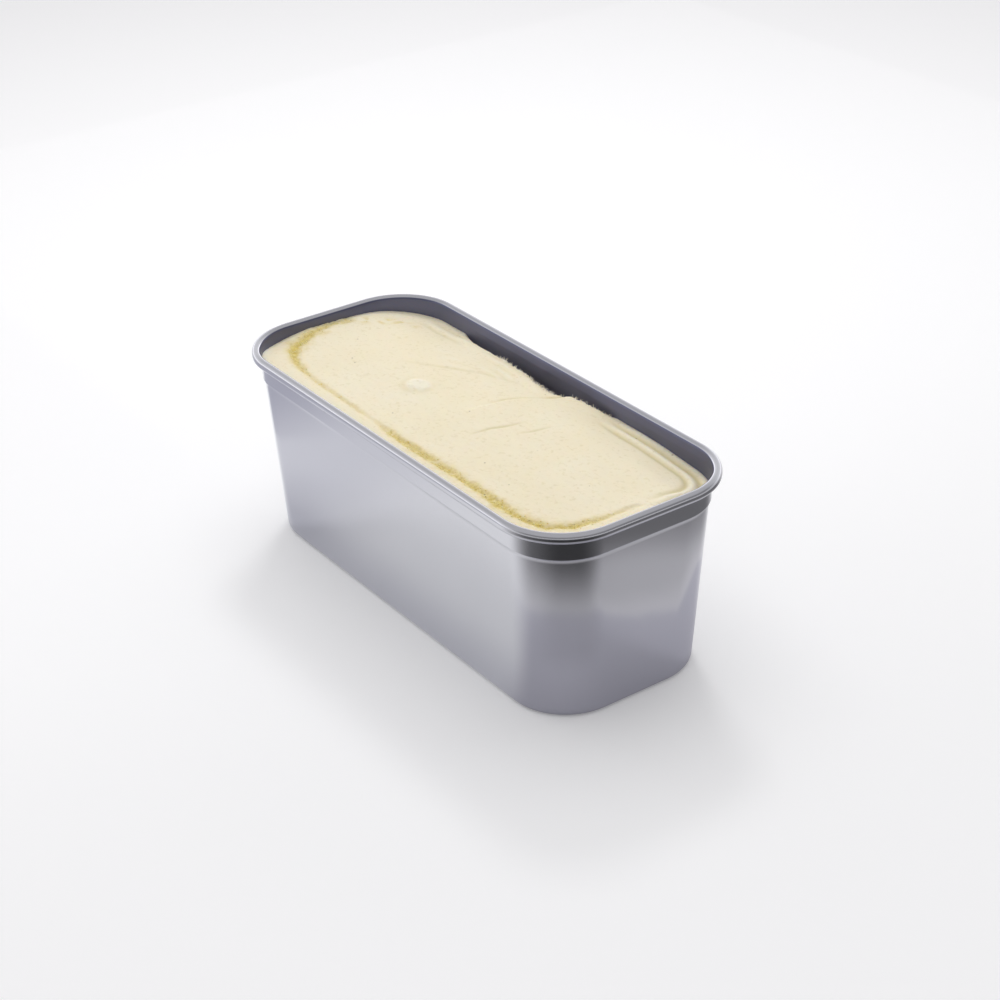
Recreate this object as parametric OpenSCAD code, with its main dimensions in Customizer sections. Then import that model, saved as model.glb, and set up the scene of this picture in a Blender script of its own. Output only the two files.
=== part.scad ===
// Deep-drawn steel ice cream pan, filled nearly to the rim.
// Millimetres. Origin: centre of the pan's foot on the surface it stands on. +X along the pan, +Z up.

/* [Pan] */
// Length over the rim
rim_l = 360; // [280:1:440]
// Width over the rim
rim_w = 155; // [130:1:200]
// Height from foot to rim
pan_h = 136; // [110:1:190]
// Corner radius of the rim, seen from above
rim_r = 46; // [38:1:55]
// Thickness of the sheet steel
sheet = 0.8; // [0.6:0.1:1.2]

/* [Rolled rim] */
// Width of the roll
roll_w = 6; // [5:0.5:8]
// How much taller the roll is than wide
roll_rise = 1; // [0:0.5:6]
// Gap left between the end of the roll and the collar
roll_gap = 0.6; // [0.4:0.1:1]

/* [Collar] */
// Depth of the stacking collar below the top of the rim
collar_h = 20; // [16:0.5:26]
// How far the collar leans in over its depth
collar_lean = 0.8; // [0.4:0.1:1.5]
// Width of the step under the collar
step_w = 1.2; // [0.8:0.1:3]
// Height of the step under the collar
step_h = 1.2; // [0.8:0.1:3]

/* [Wall and foot] */
// How far the wall leans in between the step and the foot
wall_taper = 5.6; // [2:0.2:9]
// Corner radius of the wall at the foot, seen from above
foot_corner_r = 40; // [34:1:45]
// Radius of the edge between wall and floor
foot_edge_r = 5; // [3:0.5:8]

/* [Ice cream level] */
// Gap between the ice cream and the steel
fill_gap = 0.1; // [0.05:0.05:0.3]
// Drop of the surface below the rim along the near side and the short ends
near_drop = 6.5; // [5.5:0.5:12]
// Drop of the surface below the rim in the middle
mid_drop = 8; // [6:0.5:14]
// Drop of the surface below the rim along the far side
far_drop = 13.5; // [10:0.5:17]
// Width of the strip in which the surface falls to the far side
far_strip = 46; // [30:1:60]

/* [Ice cream relief] */
// Place of the bay that the spatula left at the far side
bay_x = -13; // [-60:1:60]
// Half-width of the bay
bay_w = 24; // [16:1:40]
// Depth of the bay below the far side's level
bay_depth = 9.5; // [0:0.5:12]
// Place of the shallow trough beside the bay
trough_x = -80; // [-110:1:-60]
// Half-width of the trough
trough_w = 38; // [20:1:50]
// Depth of the trough
trough_depth = 4.2; // [0:0.2:6]
// Place where the second smear's edge meets the middle line
smear_x = -4; // [-20:1:20]
// Slant of the second smear's edge
smear_slant = 0.3; // [0:0.05:0.6]
// Height of the second smear over the first
smear_h = 1.6; // [0:0.1:3]
// Length over which the second smear's height dies away
smear_run = 70; // [40:1:110]
// Place of the small round bump along the pan
bump_x = -59; // [-100:1:-30]
// Radius of the bump
bump_r = 9; // [6:0.5:14]
// Height of the bump
bump_h = 1.4; // [0:0.1:3]
// Distance of the scraped groove from the steel
groove_in = 16; // [12:0.5:24]
// Half-width of the scraped groove
groove_w = 6; // [4:0.5:9]
// Depth of the scraped groove
groove_depth = 1.6; // [0:0.1:3]
// Pitch of the ridges along the far right edge
ridge_pitch = 11; // [9:0.5:16]
// Height of those ridges
ridge_h = 0.9; // [0:0.1:2]

/* [Hidden] */

// Steel, from the rim down: insets are measured inward from the rim's outer edge.
collar_in = roll_w - sheet;
collar_low_in = collar_in + collar_lean;
collar_low_z = pan_h - collar_h;
wall_in = collar_low_in + step_w;
wall_z = collar_low_z - step_h;
wall_r = rim_r - wall_in;
foot_in = wall_in + wall_taper;
side_x = rim_l / 2 - rim_r;
side_y = rim_w / 2 - rim_r;
roll_r = roll_w / 2;
roll_h = roll_w + roll_rise;
joint = 0.01;
over = 2;

// Wall inset and corner radius at height z, continued above the step at the same slope
function lean(z) = (wall_z - z) / (wall_z - foot_edge_r);
function wall_inset(z) = wall_in + wall_taper * lean(z);
function wall_radius(z) = wall_r + (foot_corner_r - wall_r) * lean(z);

// Inner face of the steel at height z, as [inset, corner radius]
function inner_face(z) =
    z >= collar_low_z
        ? let (i = collar_low_in + sheet - collar_lean * (z - collar_low_z) / (collar_h - roll_r))
          [i, rim_r - i]
        : z >= wall_z
            ? let (i = collar_low_in + sheet + step_w * (collar_low_z - z) / step_h)
              [i, rim_r - i]
            : [wall_inset(z) + sheet, wall_radius(z) - sheet];

// Places one copy of a cross-section along each side and round each corner.
// The cross-section's x is the distance from the corner's axis, its y is the height.
module sweep_round() {
    for (q = [0 : 3]) {
        along = q % 2 == 0 ? side_x : side_y;
        across = q % 2 == 0 ? side_y : side_x;
        rotate(90 * q) translate([along, across, 0]) {
            rotate_extrude(angle = 90, $fn = 96) children();
            rotate([90, 0, 0]) linear_extrude(2 * across) children();
        }
    }
}

// Upright oval of the roll, thinned all round by t
module roll_oval(t) {
    for (z = [pan_h - roll_r, pan_h - roll_h + roll_r])
        translate([rim_r - roll_r, z]) circle(roll_r - t, $fn = 48);
    translate([rim_r - roll_w + t, pan_h - roll_h + roll_r])
        square([roll_w - 2 * t, roll_h - 2 * roll_r]);
}

// Cross-section of the rolled rim: the sheet turned over, down and back towards the collar
module roll_section() {
    difference() {
        roll_oval(0);
        roll_oval(sheet);
        translate([rim_r - roll_w - over, pan_h - roll_h - over])
            square([sheet + over + roll_gap, roll_h - roll_r + over]);
    }
}

// Cross-section of the collar and its step
module collar_section() {
    polygon([
        [rim_r - collar_in, pan_h - roll_r],
        [rim_r - collar_low_in, collar_low_z],
        [rim_r - wall_in, wall_z],
        [rim_r - wall_in - sheet, wall_z],
        [rim_r - collar_low_in - sheet, collar_low_z],
        [rim_r - collar_in - sheet, pan_h - roll_r],
    ]);
}

// Drawn box with leaning walls and a rounded lower edge, made smaller by t, up to height top
module drawn_box(t, top) {
    edge_r = foot_edge_r - t;
    hull() {
        for (sx = [-1, 1], sy = [-1, 1]) {
            top_r = wall_radius(top);
            top_in = wall_inset(top);
            translate([sx * (rim_l / 2 - top_in - top_r), sy * (rim_w / 2 - top_in - top_r), top - joint])
                cylinder(r = top_r - t, h = joint, $fn = 48);
            translate([sx * (rim_l / 2 - foot_in - foot_corner_r), sy * (rim_w / 2 - foot_in - foot_corner_r), t])
                rotate_extrude($fn = 48) {
                    square([foot_corner_r - t - edge_r, edge_r]);
                    intersection() {
                        translate([foot_corner_r - t - edge_r, edge_r]) circle(edge_r, $fn = 24);
                        square([foot_corner_r, edge_r]);
                    }
                }
        }
    }
}

module pan() {
    color([0.74, 0.74, 0.77]) {
        sweep_round() {
            roll_section();
            collar_section();
        }
        difference() {
            drawn_box(0, wall_z);
            drawn_box(sheet, wall_z + over);
        }
    }
}

// Ice cream surface. near = distance inward from the steel.
function smooth(a, b, v) =
    let (t = min(1, max(0, (v - a) / (b - a)))) t * t * (3 - 2 * t);
function bell(v, w) = exp(-(v / w) * (v / w));
function inside(x, y, face) =
    let (
        qx = abs(x) - (rim_l / 2 - face[0] - face[1]),
        qy = abs(y) - (rim_w / 2 - face[0] - face[1])
    )
    face[1] - norm([max(qx, 0), max(qy, 0)]) - min(max(qx, qy), 0);

rest_face = inner_face(pan_h - mid_drop);
half_w = rim_w / 2 - rest_face[0];

function far_fall(x) =
    far_drop - mid_drop + bay_depth * bell(x - bay_x, bay_w) + trough_depth * bell(x - trough_x, trough_w);
function smear_lift(x, y) =
    let (d = x - smear_x - smear_slant * y)
    smear_h * smooth(-4, 4, d) * exp(-max(d, 0) / smear_run) * smooth(0, half_w, y + half_w / 3);
function bump_lift(x, y) = bump_h * bell(norm([x - bump_x, y]), bump_r / 1.6);
function groove_fall(near, x, y) =
    groove_depth * bell(near - groove_in, groove_w) * smooth(0, half_w / 2, half_w / 4 - y);
function ridge_lift(near, x, y) =
    ridge_h * cos(360 * near / ridge_pitch) * smooth(0, 60, x - rim_l / 8)
        * smooth(0, half_w / 2, y) * smooth(3 * ridge_pitch, ridge_pitch, near);

function top_z(x, y) =
    let (near = inside(x, y, rest_face))
    pan_h - mid_drop
        + (mid_drop - near_drop) * smooth(2 * groove_in, 0, near) * smooth(half_w, -half_w / 2, y)
        - far_fall(x) * smooth(half_w - far_strip, half_w, y)
        + smear_lift(x, y) + bump_lift(x, y)
        - groove_fall(near, x, y) + ridge_lift(near, x, y);

// Grid over the plan: stations along the pan, with the corners' stations spaced by angle
corner_n = 8;
middle_n = 44;
station_n = middle_n + 2 * corner_n;
across_n = 26;

// Plan point of grid place (i, j) for a face of [inset, corner radius]
function plan_point(i, j, face) =
    let (
        r = face[1] - fill_gap,
        a = rim_l / 2 - face[0] - face[1],
        b = rim_w / 2 - face[0] - face[1],
        turn = i < corner_n ? corner_n - i : max(0, i - corner_n - middle_n),
        angle = 90 * turn / corner_n,
        end = i < corner_n ? -1 : 1,
        x = i >= corner_n && i <= corner_n + middle_n
            ? a * (2 * (i - corner_n) / middle_n - 1)
            : end * (a + r * sin(angle))
    )
    [x, (b + r * cos(angle)) * (2 * j / across_n - 1)];

function surface_point(i, j) =
    let (
        p = plan_point(i, j, rest_face),
        z = top_z(p[0], p[1]),
        q = plan_point(i, j, inner_face(z))
    )
    [q[0], q[1], z];

// Grid places round the edge, in order
edge_n = 2 * (station_n + across_n);
function edge_place(m) =
    m < station_n ? [m, 0]
    : m < station_n + across_n ? [station_n, m - station_n]
    : m < 2 * station_n + across_n ? [2 * station_n + across_n - m, across_n]
    : [0, edge_n - m];

// Side levels from the top down: [height, inset added by the rounded lower edge]
cavity_r = foot_edge_r - sheet;
side_levels = [
    [collar_low_z, 0],
    [wall_z, 0],
    for (a = [0 : 30 : 90])
        [sheet + fill_gap + (cavity_r - fill_gap) * (1 - sin(a)), cavity_r * (1 - cos(a))]
];
level_n = len(side_levels);
rung = 0.4;

function side_point(m, k) =
    let (
        e = edge_place(m),
        top = surface_point(e[0], e[1])[2],
        z = min(side_levels[k][0], top - rung * (k + 1)),
        face = inner_face(z),
        in = side_levels[k][1]
    )
    concat(plan_point(e[0], e[1], [face[0] + in, face[1] - in]), [z]);

function grid_id(i, j) = i * (across_n + 1) + j;
function side_id(m, k) =
    let (e = edge_place(m % edge_n))
    k < 0 ? grid_id(e[0], e[1]) : (station_n + 1) * (across_n + 1) + k * edge_n + m % edge_n;

module ice_cream() {
    surface = [for (i = [0 : station_n], j = [0 : across_n]) surface_point(i, j)];
    sides = [for (k = [0 : level_n - 1], m = [0 : edge_n - 1]) side_point(m, k)];
    top_faces = [
        for (i = [0 : station_n - 1], j = [0 : across_n - 1])
            each [
                [grid_id(i, j), grid_id(i + 1, j + 1), grid_id(i + 1, j)],
                [grid_id(i, j), grid_id(i, j + 1), grid_id(i + 1, j + 1)],
            ]
    ];
    side_faces = [
        for (k = [-1 : level_n - 2], m = [0 : edge_n - 1])
            each [
                [side_id(m, k), side_id(m + 1, k), side_id(m + 1, k + 1)],
                [side_id(m, k), side_id(m + 1, k + 1), side_id(m, k + 1)],
            ]
    ];
    floor_centre = [[0, 0, sheet + fill_gap]];
    floor_faces = [
        for (m = [0 : edge_n - 1])
            [len(surface) + len(sides), side_id(m, level_n - 1), side_id(m + 1, level_n - 1)]
    ];
    color([0.95, 0.91, 0.79])
        polyhedron(concat(surface, sides, floor_centre), concat(top_faces, side_faces, floor_faces));
}

pan();
ice_cream();
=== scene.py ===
# %% [markdown]
# # A steel pan of vanilla ice cream
#
# The object is a long counter pan, drawn from one sheet of stainless steel, with ice cream
# smoothed into it by spatula. The steel model comes from the frame and sets every size here.
# The looks are built round it: a finer pan, finer ice cream, and the icy crumbs along its edge.

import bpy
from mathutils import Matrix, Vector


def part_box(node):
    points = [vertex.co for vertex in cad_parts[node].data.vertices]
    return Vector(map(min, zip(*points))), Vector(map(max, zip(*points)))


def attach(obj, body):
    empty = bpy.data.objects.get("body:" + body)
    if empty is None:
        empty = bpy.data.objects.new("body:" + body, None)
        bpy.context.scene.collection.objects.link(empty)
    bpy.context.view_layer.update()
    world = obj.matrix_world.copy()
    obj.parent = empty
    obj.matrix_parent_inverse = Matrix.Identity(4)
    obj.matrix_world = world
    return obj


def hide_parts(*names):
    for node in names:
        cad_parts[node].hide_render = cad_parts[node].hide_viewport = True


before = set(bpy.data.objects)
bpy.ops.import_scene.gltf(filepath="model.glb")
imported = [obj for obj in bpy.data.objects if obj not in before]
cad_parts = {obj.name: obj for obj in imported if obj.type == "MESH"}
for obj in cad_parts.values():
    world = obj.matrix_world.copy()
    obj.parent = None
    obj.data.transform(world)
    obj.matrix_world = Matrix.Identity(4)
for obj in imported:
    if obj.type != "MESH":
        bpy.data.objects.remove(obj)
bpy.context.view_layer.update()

# %% Libraries and sizes
import math

import bmesh
import bpy
import numpy as np
from mathutils import Matrix, Vector

MM = 0.001
pan_low, pan_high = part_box("pan")
rim_l, rim_w, pan_h = ((pan_high - pan_low) / MM)
print(f"pan over the rim: {rim_l:.1f} x {rim_w:.1f} mm, {pan_h:.1f} mm high")

# %% [markdown]
# ## Small helpers
#
# Colours are written as sRGB hex, as a paint chart gives them, and one function turns them
# into the linear values that the renderer works in. Another adds one node to a tree: inputs
# that are sockets are linked, and plain values are set.

# %% Colour and node helpers
def hex_colour(text):
    """Linear RGBA of an sRGB hex colour."""
    parts = [int(text[k:k + 2], 16) / 255 for k in (0, 2, 4)]
    linear = [c / 12.92 if c <= 0.04045 else ((c + 0.055) / 1.055) ** 2.4 for c in parts]
    return (*linear, 1.0)


def add_node(tree, kind, inputs=None, **settings):
    """Adds a node; inputs maps a socket's name or number to a value or to another node's socket."""
    made = tree.nodes.new(kind)
    for name, value in settings.items():
        setattr(made, name, value)
    for key, value in (inputs or {}).items():
        socket = made.inputs[key]
        if isinstance(value, bpy.types.NodeSocket):
            tree.links.new(value, socket)
        else:
            socket.default_value = value
    return made


def ramp(tree, value, first, last, low=0.0, high=1.0, **settings):
    """Output that goes from low to high while value goes from first to last."""
    return add_node(tree, "ShaderNodeMapRange", {0: value, 1: first, 2: last, 3: low, 4: high},
                    **settings).outputs[0]


def blend(tree, share, first, second):
    """Colour output between two others, each an sRGB hex or a socket, by share."""
    ends = [hex_colour(c) if isinstance(c, str) else c for c in (first, second)]
    return add_node(tree, "ShaderNodeMix", {0: share, 6: ends[0], 7: ends[1]},
                    data_type="RGBA").outputs[2]


def noise(tree, place, scale, detail):
    """Grey output of a cloud texture."""
    return add_node(tree, "ShaderNodeTexNoise",
                    {"Vector": place, "Scale": scale, "Detail": detail}).outputs["Fac"]


def name_inputs(tree, sockets):
    """Gives the tree named inputs and a geometry output; returns label: identifier."""
    made = {label: tree.interface.new_socket(label, in_out="INPUT", socket_type="NodeSocket" + kind)
            for label, kind in sockets}
    tree.interface.new_socket("Geometry", in_out="OUTPUT", socket_type="NodeSocketGeometry")
    return {label: socket.identifier for label, socket in made.items()}


def new_material(name):
    """An empty node material with a Principled surface; returns (material, tree, shader)."""
    made = bpy.data.materials.new(name)
    made.use_nodes = True
    shader = made.node_tree.nodes["Principled BSDF"]
    return made, made.node_tree, shader


def object_from_mesh(name, mesh):
    """A new object of the scene that shows mesh."""
    made = bpy.data.objects.new(name, mesh)
    bpy.context.scene.collection.objects.link(made)
    return made

# %% [markdown]
# ## Camera
#
# The camera looks down on one corner with a long lens, so the pan's long side runs away to
# the left. It is placed by the azimuth, elevation and distance from a point inside the pan.

# %% Camera
aim = Vector((0.0107, 0.0115, 0.0641))
azimuth, elevation, roll = math.radians(54.74), math.radians(29.30), math.radians(-1.49)
distance = 1.3674

back = Vector((math.sin(azimuth) * math.cos(elevation), -math.cos(azimuth) * math.cos(elevation),
               math.sin(elevation)))
level = Vector((math.cos(azimuth), math.sin(azimuth), 0.0))
upright = back.cross(level)
right = level * math.cos(roll) + upright * math.sin(roll)
up = back.cross(right)

camera = bpy.data.objects.new("camera", bpy.data.cameras.new("camera"))
camera.data.lens = 75.53
camera.data.sensor_width = 36.0
camera.data.clip_start = 0.05
camera.matrix_world = Matrix((
    (right.x, up.x, back.x, aim.x + back.x * distance),
    (right.y, up.y, back.y, aim.y + back.y * distance),
    (right.z, up.z, back.z, aim.z + back.z * distance),
    (0, 0, 0, 1),
))
bpy.context.scene.collection.objects.link(camera)
bpy.context.scene.camera = camera
print(f"camera {distance:.2f} m from the pan")

# %% [markdown]
# ## Floor, world and lamps
#
# Polished steel is mostly a picture of what stands round it, so the studio is built for the
# steel: a white floor, a wall that is brighter on the left, a bright ceiling, and a low band of
# windows that draws the bright line along the rim. The camera itself sees plain white. Dark bands
# and soft edges in the reflections are what make metal look like metal.

# %% Floor and world
table_glow, matt = 0.16, 0.9


def flat_sheet(name, outline, z, colour):
    """A flat matt sheet of the stage with its corners at outline (x, y) in metres."""
    mesh = bpy.data.meshes.new(name)
    mesh.from_pydata([(x, y, z) for x, y in outline], [], [tuple(range(len(outline)))])
    made = object_from_mesh(name, mesh)
    paper, _, shader = new_material(name + "_paper")
    shader.inputs["Base Color"].default_value = hex_colour(colour)
    shader.inputs["Roughness"].default_value = matt
    shader.inputs["Emission Color"].default_value = hex_colour(colour)
    shader.inputs["Emission Strength"].default_value = table_glow
    mesh.materials.append(paper)


flat_sheet("floor", [(-20, -20), (20, -20), (20, 20), (-20, 20)], 0.0, "F4F4F4")

world = bpy.data.worlds.new("studio")
world.use_nodes = True
bpy.context.scene.world = world
sky = world.node_tree
facing = add_node(sky, "ShaderNodeTexCoord").outputs["Generated"]
toward_left = add_node(sky, "ShaderNodeVectorMath", {0: facing, 1: (-0.95, 0.25, 0.0)},
                       operation="DOT_PRODUCT").outputs["Value"]
height_up = add_node(sky, "ShaderNodeSeparateXYZ", {0: facing}).outputs[2]
soft = {"interpolation_type": "SMOOTHSTEP"}
wall = ramp(sky, toward_left, -0.35, 0.55, 0.24, 0.90, **soft)
ceiling = ramp(sky, height_up, 0.30, 0.75, **soft)
glow = add_node(sky, "ShaderNodeMix", {0: ceiling, 2: wall, 3: 0.55}).outputs[0]
sill = ramp(sky, height_up, 0.02, 0.08, 0.0, 0.8, **soft)
window = ramp(sky, height_up, 0.14, 0.26, sill, 0.0, **soft)
glow = add_node(sky, "ShaderNodeMath", {0: window, 1: wall, 2: glow},
                operation="MULTIPLY_ADD").outputs[0]
seen = add_node(sky, "ShaderNodeLightPath").outputs["Is Camera Ray"]
glow = add_node(sky, "ShaderNodeMix", {0: seen, 2: glow, 3: 1.0}).outputs[0]
sky.links.new(glow, sky.nodes["Background"].inputs["Strength"])
sky.nodes["Background"].inputs["Color"].default_value = hex_colour("FDFCFF")

# %% [markdown]
# ## The reflector sheet
#
# One thin sheet lies on the floor round the pan, and only reflections see it. It carries painted
# shadows and painted dark reflections for the steel. Cards of white, grey and black could be laid
# there one by one, but their edges would show as hard lines, so one sheet is painted with soft
# tones: white to the left, a grey painted shadow on the right, a bluish painted shadow close to
# the foot, and painted black in front of the corner. Each tone is a function of the distance from
# the pan and of the direction, kept as a colour on the mesh.

# %% Painted shadows and dark reflections on the reflector
def smooth(first, last, value):
    """0 before first, 1 after last, and an easy slope between them."""
    t = np.clip((value - first) / (last - first), 0.0, 1.0)
    return t * t * (3 - 2 * t)


foot_inset, foot_round, card_lift = 0.010, 0.04, 0.0003
front_corner = (0.134, -0.032)
cell, cells = 0.005, 400
ticks = (np.arange(cells + 1) - cells / 2) * cell
sheet_x, sheet_y = np.meshgrid(ticks, ticks, indexing="ij")
half_foot = np.array([rim_l, rim_w]) * MM / 2 - foot_inset
out_x = np.abs(sheet_x) - half_foot[0] + foot_round
out_y = np.abs(sheet_y) - half_foot[1] + foot_round
away = np.hypot(np.maximum(out_x, 0), np.maximum(out_y, 0)) - foot_round
bearing = np.degrees(np.arctan2(sheet_y - front_corner[1], sheet_x - front_corner[0]))

# Right of the pan: a painted shadow, darker with a bluish tone from the foot out to a soft edge
on_right = smooth(-135, -84, bearing) * smooth(120, 80, bearing)
edge_y = [0.0, 0.026, 0.036, 0.05, 0.08, 0.12, 0.16]
edge_away = [0.091, 0.083, 0.070, 0.062, 0.062, 0.078, 0.095]
edge = np.interp(sheet_y, edge_y, edge_away)
beyond = smooth(edge - 0.003, edge + 0.003, away)
farther = 1 - 0.20 * on_right * smooth(0.0, 0.03, away - edge)
grey = (1 - on_right * (0.435 - 0.16 * beyond)) * farther
blue = (1 - on_right * (0.39 - 0.118 * beyond)) * farther

# Left of it: painted shade at the foot and the end, and a painted shade for the collar
by_long_side = smooth(-0.05, -0.08, sheet_y)
left_end = smooth(-0.06, -0.20, sheet_x) * by_long_side
end_foot = smooth(0.085, 0.0, away)
low_left = (1 - on_right) * smooth(0.04, 0.0, away)
grey = grey * (1 - 0.17 * low_left) * (1 - left_end * (0.19 + 0.21 * end_foot))
blue = blue * (1 - 0.14 * low_left) * (1 - left_end * (0.155 + 0.195 * end_foot))
collar_shade = smooth(-0.20, -0.34, sheet_x) * by_long_side * smooth(0.108, 0.122, away)
grey, blue = grey * (1 - 0.36 * collar_shade), blue * (1 - 0.30 * collar_shade)

# Painted dark reflections: a dim room farther out on the right, and black in front of the corner
painted_dim_room = on_right * (0.50 * smooth(0.115, 0.15, away) + 0.50 * smooth(0.15, 0.18, away))
toward_camera = smooth(-108, -38, bearing) * smooth(42, -12, bearing)
black = toward_camera * smooth(0.085, 0.150, away)
near_pan = smooth(0.55, 0.30, away)
tone = 0.94 * (1 - 0.70 * painted_dim_room * near_pan) * (1 - 0.75 * black * near_pan)
tone = tone * (1 - 0.14 * toward_camera * smooth(0.03, 0.06, away))
green = grey * (1 - 0.015 * on_right)
tones = np.stack([tone * grey, tone * green, tone * blue, np.ones_like(tone)], -1)

ids = np.arange(sheet_x.size).reshape(sheet_x.shape)
corners = np.stack([ids[:-1, :-1], ids[1:, :-1], ids[1:, 1:], ids[:-1, 1:]], -1).reshape(-1, 4)
reflector_mesh = bpy.data.meshes.new("reflector")
places = np.stack([sheet_x, sheet_y, np.full_like(sheet_x, card_lift)], -1).reshape(-1, 3)
reflector_mesh.from_pydata(places.tolist(), [], corners.tolist())
reflector_mesh.attributes.new("tone", "FLOAT_COLOR", "POINT").data.foreach_set(
    "color", tones.astype(np.float32).ravel())
reflector = object_from_mesh("reflector", reflector_mesh)
# painted shade: the card shows the painted shadow tones as its colour and its glow
shade_card_paper, shade_card_tree, shade_card_shader = new_material("painted_shade_card")
painted_shade_tones = add_node(shade_card_tree, "ShaderNodeAttribute", attribute_name="tone").outputs["Color"]
shade_card_tree.links.new(painted_shade_tones, shade_card_shader.inputs["Base Color"])
shade_card_tree.links.new(painted_shade_tones, shade_card_shader.inputs["Emission Color"])
shade_card_shader.inputs["Emission Strength"].default_value = table_glow
shade_card_shader.inputs["Roughness"].default_value = matt
reflector_mesh.materials.append(shade_card_paper)
reflector.visible_camera = reflector.visible_diffuse = reflector.visible_shadow = False


# %% Lamps
def add_lamp(name, place, size, power, target=(0, 0, 0.1)):
    """A square soft box at place, facing target."""
    lamp = bpy.data.objects.new(name, bpy.data.lights.new(name, "AREA"))
    lamp.data.size = size
    lamp.data.energy = power
    lamp.location = place
    lamp.rotation_euler = (Vector(target) - Vector(place)).to_track_quat("-Z", "Y").to_euler()
    bpy.context.scene.collection.objects.link(lamp)
    return lamp


lamp_above = add_lamp("lamp_above", (-0.35, 0.1, 1.6), 1.5, 7.2)
lamp_left = add_lamp("lamp_left", (-0.8, 0.6, 1.35), 0.30, 4.3)
lamp_front = add_lamp("lamp_front", (0.45, -0.5, 1.25), 0.45, 0.5)
for lamp in (lamp_above, lamp_left, lamp_front):
    lamp.visible_glossy = False  # a lamp mirrored in the roll would burn a white band into it
bpy.context.scene.view_settings.view_transform = "Standard"
print("floor, world, reflector and three lamps")

# %% [markdown]
# ## The pan's outline in section
#
# A drawn pan is the same sheet everywhere: flat floor, rounded foot edge, leaning wall, a small
# step, the stacking collar, and a rim rolled outwards. The outline could be modelled by hand,
# but a list of three numbers for each point is shorter: how far it lies inward of the rim's
# edge, the radius of the pan's corner there, and its height.

# %% Section of the pan
rim_r = 46.0
sheet = 0.8
roll_r, roll_h, roll_gap = 3.0, 7.0, 0.6
collar_h, collar_lean = 20.0, 0.8
step_w, step_h = 1.2, 1.2
wall_taper, foot_corner_r, foot_edge_r = 5.6, 40.0, 5.0

collar_in = 2 * roll_r - sheet
collar_low_in = collar_in + collar_lean
collar_low_z = pan_h - collar_h
neck_lean, neck_z = 0.08, pan_h - roll_h + 0.2
wall_in = collar_low_in + step_w
wall_z = collar_low_z - step_h
foot_in = wall_in + wall_taper
wall_r = rim_r - wall_in


def arc(centre, radius, first, last, steps):
    """Points [inset, height] on an arc; angle 0 points outwards, 90 degrees up."""
    angles = np.radians(np.linspace(first, last, steps + 1))
    return [(centre[0] - radius * math.cos(a), centre[1] + radius * math.sin(a)) for a in angles]


def soft_step(top, low, steps=8):
    """Points from (inset, height) top down to low, as a smooth S."""
    out = []
    for t in np.linspace(0, 1, steps + 1):
        ease = t * t * (3 - 2 * t)
        out.append((top[0] + (low[0] - top[0]) * ease, top[1] + (low[1] - top[1]) * t))
    return out


def straight(first, last, shares=(0.02, 0.3, 0.7, 0.98)):
    """Points between two others; those close to the ends keep the shading of a flat face flat."""
    (i, z), (i_end, z_end) = first, last
    return [(i + (i_end - i) * t, z + (z_end - z) * t) for t in shares]


def wall_side(thick):
    """The wall from collar to floor's middle, as a face thick mm inside the outer one."""
    edge_r = foot_edge_r - thick
    collar_top = (collar_in + thick, pan_h - roll_r)
    collar_low = (collar_low_in + thick, collar_low_z)
    foot = arc((foot_in + thick + edge_r, foot_edge_r), edge_r, 0, -90, 8)
    floor_end = (rim_w / 2, thick)
    neck = (collar_low[0] - neck_lean, neck_z)
    points = [collar_top, neck] + straight(neck, collar_low)
    points += soft_step(collar_low, (wall_in + thick, wall_z))
    points += straight(points[-1], foot[0]) + foot
    return points + straight(foot[-1], floor_end, (0.02, 0.4)) + [floor_end]


def corner_radius(inset, height):
    """Radius of the pan's corner in plan: it follows the rim down to the step, then the foot."""
    if height >= wall_z - 0.01:
        return rim_r - inset
    t = min(1.0, (wall_z - height) / (wall_z - foot_edge_r))
    edge = wall_in + wall_taper * t
    return max(0.0, wall_r + (foot_corner_r - wall_r) * t - (inset - edge))


curl_reach = roll_r - (2 * roll_r - sheet - roll_gap)
curl_end = math.degrees(math.acos(curl_reach / roll_r))
inner_end = math.degrees(math.acos(curl_reach / (roll_r - sheet)))
top_centre, low_centre = (roll_r, pan_h - roll_r), (roll_r, pan_h - roll_h + roll_r)
section = wall_side(sheet)[::-1]
inner_rows = len(section) + 4
section += arc(top_centre, roll_r, 180, 0, 20)[1:] + arc(low_centre, roll_r, 0, -curl_end, 14)
section += arc(low_centre, roll_r - sheet, -inner_end, 0, 12)
section += arc(top_centre, roll_r - sheet, 0, 180, 14)
section += wall_side(0.0)[1:]
print(f"section of {len(section)} points")

# %% [markdown]
# ## The pan
#
# The shape follows one rule, so Geometry Nodes build it: a grid whose columns go round the
# corners and sides and whose rows follow the section. Each grid point looks up its section
# point and is set round a corner of that radius. Because the corner's radius is looked up
# too, the wall can lean in without its corners growing sharper, which a plain sweep can't do.

# %% Section as a lookup line
section_mesh = bpy.data.meshes.new("pan_section")
section_mesh.from_pydata([(i * MM, corner_radius(i, z) * MM, z * MM) for i, z in section], [], [])
section_line = object_from_mesh("pan_section", section_mesh)

# %% Geometry Nodes for the pan
pan_tree = bpy.data.node_groups.new("drawn_pan", "GeometryNodeTree")
weld = 1e-6
pan_inputs = name_inputs(pan_tree, (
    ("Section", "Object"), ("Rim length", "Float"), ("Rim width", "Float"), ("Corner steps", "Int"),
    ("Side steps", "Int"), ("Inner rows", "Int"), ("Steel", "Material"),
    ("Shaded inner steel", "Material")))
given = add_node(pan_tree, "NodeGroupInput").outputs


def calc(operation, first, second=0.0, third=0.0):
    """One sum in the pan's tree."""
    return add_node(pan_tree, "ShaderNodeMath", {0: first, 1: second, 2: third},
                    operation=operation).outputs[0]


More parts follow.
